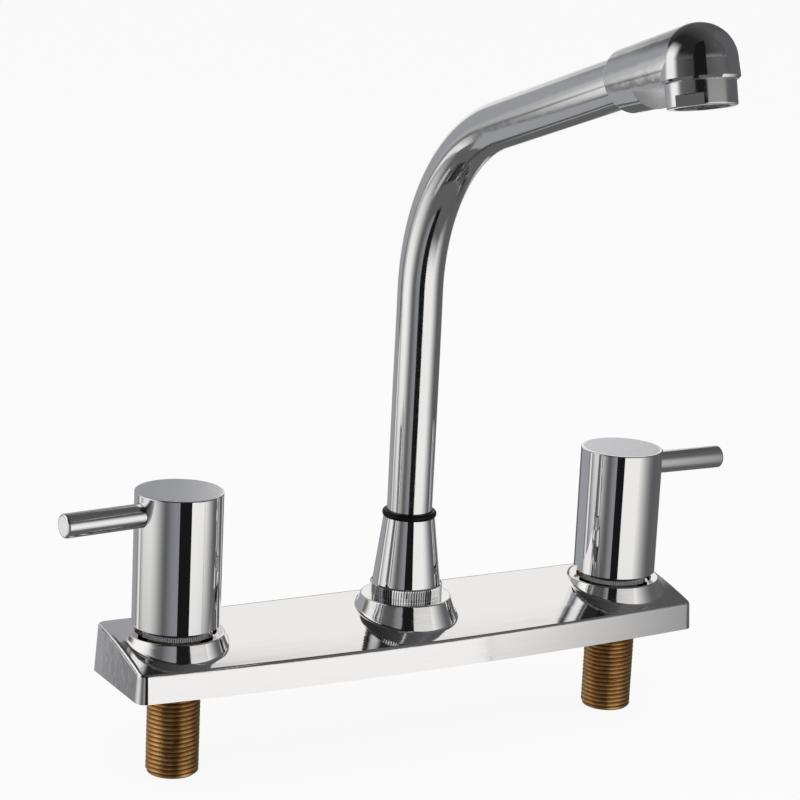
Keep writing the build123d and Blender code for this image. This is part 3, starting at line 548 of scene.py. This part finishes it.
def knurled(finish, x, root, crest, low, high):
    """Chrome on a knurled band: bright on the crests, with painted shade down in the grooves."""
    tree = finish.node_tree
    shader = tree.nodes["Principled BSDF"]
    place = tree.nodes.new("ShaderNodeTexCoord")
    depth = tree.nodes.new("ShaderNodeMapRange")
    depth.inputs["From Min"].default_value = root
    depth.inputs["From Max"].default_value = crest
    split = tree.nodes.new("ShaderNodeSeparateXYZ")
    above = tree.nodes.new("ShaderNodeMath")
    above.operation = "GREATER_THAN"
    above.inputs[1].default_value = low
    below = tree.nodes.new("ShaderNodeMath")
    below.operation = "LESS_THAN"
    below.inputs[1].default_value = high
    band = tree.nodes.new("ShaderNodeMath")
    band.operation = "MULTIPLY"
    painted_groove_shade = tree.nodes.new("ShaderNodeMix")
    painted_groove_shade.data_type = "RGBA"
    # painted shade: near-black in the roots of the teeth, fading to light on the crests
    painted_groove_shade.inputs["A"].default_value = (0.05, 0.05, 0.052, 1)
    painted_groove_shade.inputs["B"].default_value = (0.95, 0.955, 0.96, 1)
    colour = tree.nodes.new("ShaderNodeMix")
    colour.data_type = "RGBA"
    colour.inputs["A"].default_value = shader.inputs["Base Color"].default_value
    tree.links.new(axis_distance(tree, place, x), depth.inputs["Value"])
    tree.links.new(depth.outputs[0], painted_groove_shade.inputs["Factor"])
    tree.links.new(place.outputs["Object"], split.inputs[0])
    tree.links.new(split.outputs["Z"], above.inputs[0])
    tree.links.new(split.outputs["Z"], below.inputs[0])
    tree.links.new(above.outputs[0], band.inputs[0])
    tree.links.new(below.outputs[0], band.inputs[1])
    tree.links.new(band.outputs[0], colour.inputs["Factor"])
    tree.links.new(painted_groove_shade.outputs["Result"], colour.inputs["B"])
    tree.links.new(colour.outputs["Result"], shader.inputs["Base Color"])
    return finish


for side, x in (("hot", -half_spacing), ("cold", half_spacing)):
    # half metal: the teeth stay light although the handle keeps nearly all reflections from them
    ring_chrome = chrome(side + "_ring_chrome", 0.22)
    ring_chrome.node_tree.nodes["Principled BSDF"].inputs["Metallic"].default_value = 0.35
    # painted shade in the grooves of the ring's knurl
    finish_node(side + "_lock_ring", knurled(ring_chrome, x, ring_root, ring_crest, low=0.0, high=0.1))

# ---------------------------------------------------------------- spout foot
# The tapered nut is turned from brass bar, its band knurled for the fingers, then chromed. The black ring
# on top guides the tube and keeps it off the nut.

nut_root = 0.0142
nut_crest = 0.01455
nut_band_low = 0.0230
nut_band_high = 0.0271
nut_chrome = chrome("nut_chrome", 0.03)
# painted shade in the grooves of the nut's knurled band
finish_node("spout_nut", knurled(nut_chrome, 0, nut_root, nut_crest, nut_band_low, nut_band_high))


def dull(name, colour, roughness, grain_scale, grain_depth):
    """Rubber, plastic or ceramic: one colour with a fine surface grain."""
    finish, tree, shader, place = new_finish(name)
    shader.inputs["Base Color"].default_value = (*colour, 1)
    grain = tree.nodes.new("ShaderNodeTexNoise")
    grain.inputs["Scale"].default_value = grain_scale
    grain.inputs["Detail"].default_value = 4.0
    rough = tree.nodes.new("ShaderNodeMapRange")
    rough.inputs["To Min"].default_value = roughness - 0.08
    rough.inputs["To Max"].default_value = roughness + 0.08
    bump = tree.nodes.new("ShaderNodeBump")
    bump.inputs["Strength"].default_value = 0.3
    bump.inputs["Distance"].default_value = grain_depth
    tree.links.new(place.outputs["Object"], grain.inputs["Vector"])
    tree.links.new(grain.outputs["Fac"], rough.inputs["Value"])
    tree.links.new(rough.outputs[0], shader.inputs["Roughness"])
    tree.links.new(grain.outputs["Fac"], bump.inputs["Height"])
    tree.links.new(bump.outputs[0], shader.inputs["Normal"])
    return finish


rubber = dull("seal_rubber", (0.018, 0.018, 0.019), 0.55, 1500, 0.00004)
ring_black = dull("guide_ring_black", (0.004, 0.004, 0.0045), 0.42, 900, 0.00003)
ring_black.node_tree.nodes["Principled BSDF"].inputs["Specular IOR Level"].default_value = 0.16
finish_node("spout_guide_ring", ring_black)
finish_node("spout_thrust_washer", dull("washer_plastic", (0.82, 0.81, 0.78), 0.45, 900, 0.00003))

# ---------------------------------------------------------------- spout
# One length of drawn brass tube, bent once over a mandrel and chromed. A collar is brazed on its foot and
# turns in the hub on two O-rings.

finish_node("spout_tube", chrome("tube_chrome", 0.09, wave=0.0001, wave_scale=45.0))
turned_brass = metal("turned_brass", (0.80, 0.62, 0.32), 0.25, 1400, 0.00004, streak=(1, 1, 6), tarnish=0.2)
finish_node("spout_collar", turned_brass)
finish_node("spout_o_rings", rubber)

# ---------------------------------------------------------------- nose and aerator
# A zinc casting with a ball elbow, buffed by hand, so its surface waves a little. The aerator's shell is
# turned brass; its insert is dark plastic, with a steel screen and a rubber washer behind it.

elbow_point = Vector((0, -0.172909, 0.257650))
outlet_up = Vector((0, 0.238533, 0.971134))
rim_drop = 0.0085
wall_back = 0.0245
mask_margin = 0.00008

# polished all over, but left as milled on the flat underside and the wall behind the outlet
nose_chrome = chrome("nose_chrome", 0.07, wave=0.00014, wave_scale=70.0)
tree = nose_chrome.node_tree
shader = tree.nodes["Principled BSDF"]
polished = shader.inputs["Roughness"].links[0].from_socket
place = tree.nodes.new("ShaderNodeTexCoord")
milled = tree.nodes.new("ShaderNodeMath")
milled.operation = "MULTIPLY"
backwards = outlet_up.cross(Vector((1, 0, 0)))
for index, (direction, reach) in enumerate(((outlet_up, -rim_drop), (backwards, wall_back))):
    measure = tree.nodes.new("ShaderNodeVectorMath")
    measure.operation = "DOT_PRODUCT"
    measure.inputs[1].default_value = direction
    within = tree.nodes.new("ShaderNodeMath")
    within.operation = "LESS_THAN"
    within.inputs[1].default_value = elbow_point.dot(direction) + reach + mask_margin
    tree.links.new(place.outputs["Object"], measure.inputs[0])
    tree.links.new(measure.outputs["Value"], within.inputs[0])
    tree.links.new(within.outputs[0], milled.inputs[index])
rough = tree.nodes.new("ShaderNodeMix")
rough.data_type = "FLOAT"
rough.inputs["B"].default_value = 0.36
tree.links.new(milled.outputs[0], rough.inputs["Factor"])
tree.links.new(polished, rough.inputs["A"])
tree.links.new(rough.outputs["Result"], shader.inputs["Roughness"])
finish_node("spout_nose", nose_chrome)
finish_node("aerator_housing", chrome("aerator_chrome", 0.15))
finish_node("aerator_insert", dull("insert_plastic", (0.045, 0.046, 0.05), 0.4, 1200, 0.00003))
finish_node("aerator_screen", metal("screen_steel", (0.55, 0.55, 0.56), 0.3, 1200, 0.00003))
finish_node("aerator_washer", rubber)

# ---------------------------------------------------------------- handles
# Each handle is a chromed cylinder over the cartridge's stem, faced on a lathe across its top. A round
# lever is screwed into its side, and a grub screw at the back holds it on the stem.

handle_top = 0.0752
handle_face_radius = 0.0160
handle_face_margin = 0.00008


def handle_finish(name, x, painted_top_tone):
    """Bright chrome on the wall; the flat top keeps the fine rings of the lathe tool under its chrome, and
    gets a painted tone for the light that falls on it.
    """
    finish = chrome(name, 0.035)
    tree = finish.node_tree
    shader = tree.nodes["Principled BSDF"]
    polished = shader.inputs["Roughness"].links[0].from_socket
    place = tree.nodes.new("ShaderNodeTexCoord")
    reach = axis_distance(tree, place, x)
    split = tree.nodes.new("ShaderNodeSeparateXYZ")
    top = tree.nodes.new("ShaderNodeMath")
    top.operation = "GREATER_THAN"
    top.inputs[1].default_value = handle_top - handle_face_margin
    inside = tree.nodes.new("ShaderNodeMath")
    inside.operation = "LESS_THAN"
    inside.inputs[1].default_value = handle_face_radius
    face = tree.nodes.new("ShaderNodeMath")
    face.operation = "MULTIPLY"
    rings = tree.nodes.new("ShaderNodeTexNoise")
    rings.noise_dimensions = "1D"
    rings.inputs["Scale"].default_value = 2600.0
    rings.inputs["Detail"].default_value = 3.0
    turned = tree.nodes.new("ShaderNodeMapRange")
    turned.inputs["From Min"].default_value = 0.3
    turned.inputs["From Max"].default_value = 0.7
    turned.inputs["To Min"].default_value = 0.30
    turned.inputs["To Max"].default_value = 0.46
    rough = tree.nodes.new("ShaderNodeMix")
    rough.data_type = "FLOAT"
    height = tree.nodes.new("ShaderNodeMath")
    height.operation = "MULTIPLY"
    bump = tree.nodes.new("ShaderNodeBump")
    bump.inputs["Strength"].default_value = 0.5
    bump.inputs["Distance"].default_value = 0.00003
    shade = tree.nodes.new("ShaderNodeMix")
    shade.data_type = "RGBA"
    shade.inputs["A"].default_value = shader.inputs["Base Color"].default_value
    shade.inputs["B"].default_value = (*painted_top_tone, 1)
    tree.links.new(place.outputs["Object"], split.inputs[0])
    tree.links.new(split.outputs["Z"], top.inputs[0])
    tree.links.new(reach, inside.inputs[0])
    tree.links.new(top.outputs[0], face.inputs[0])
    tree.links.new(inside.outputs[0], face.inputs[1])
    tree.links.new(reach, rings.inputs["W"])
    tree.links.new(rings.outputs["Fac"], turned.inputs["Value"])
    tree.links.new(face.outputs[0], rough.inputs["Factor"])
    tree.links.new(polished, rough.inputs["A"])
    tree.links.new(turned.outputs[0], rough.inputs["B"])
    tree.links.new(rough.outputs["Result"], shader.inputs["Roughness"])
    tree.links.new(rings.outputs["Fac"], height.inputs[0])
    tree.links.new(face.outputs[0], height.inputs[1])
    tree.links.new(height.outputs[0], bump.inputs["Height"])
    tree.links.new(shader.inputs["Normal"].links[0].from_socket, bump.inputs["Normal"])
    tree.links.new(bump.outputs[0], shader.inputs["Normal"])
    tree.links.new(face.outputs[0], shade.inputs["Factor"])
    tree.links.new(shade.outputs["Result"], shader.inputs["Base Color"])
    return finish


screw_steel = metal("screw_steel", (0.35, 0.35, 0.36), 0.3, 1200, 0.00003)
# painted light and shade: both tops are the same turned chrome, the hot one painted lighter and the cold one
# darker
for side, x, lever_haze, painted_top_tone in (
    ("hot", -half_spacing, 0.10, (0.96, 0.975, 1.0)),
    ("cold", half_spacing, 0.16, (0.72, 0.735, 0.77)),
):
    lever_chrome = chrome(side + "_lever_chrome", lever_haze, streak=(0.04, 1, 1), brush=0.00004)
    finish_node(side + "_handle", handle_finish(side + "_handle_chrome", x, painted_top_tone))
    finish_node(side + "_lever", lever_chrome)
    finish_node(side + "_grub_screw", screw_steel)

# ---------------------------------------------------------------- cartridges
# Nickelled bonnets and stems with lapped ceramic discs and rubber seals. The handles hide them; only a
# little of each bonnet shows in the gap above the ring.

ceramic = dull("disc_ceramic", (0.86, 0.85, 0.82), 0.2, 900, 0.00001)
bonnet_nickel = metal("bonnet_nickel", (0.30, 0.29, 0.27), 0.4, 1400, 0.00004, streak=(1, 1, 6), tarnish=0.3)
for side in ("hot", "cold"):
    finish_node(side + "_bonnet", bonnet_nickel)
    finish_node(side + "_stem", bonnet_nickel)
    for part in ("fixed_disc", "moving_disc"):
        finish_node(side + "_" + part, ceramic)
    for part in ("bonnet_o_ring", "seat_seal", "stem_o_rings"):
        finish_node(side + "_" + part, rubber)
    finish_node(side + "_stem_clip", screw_steel)
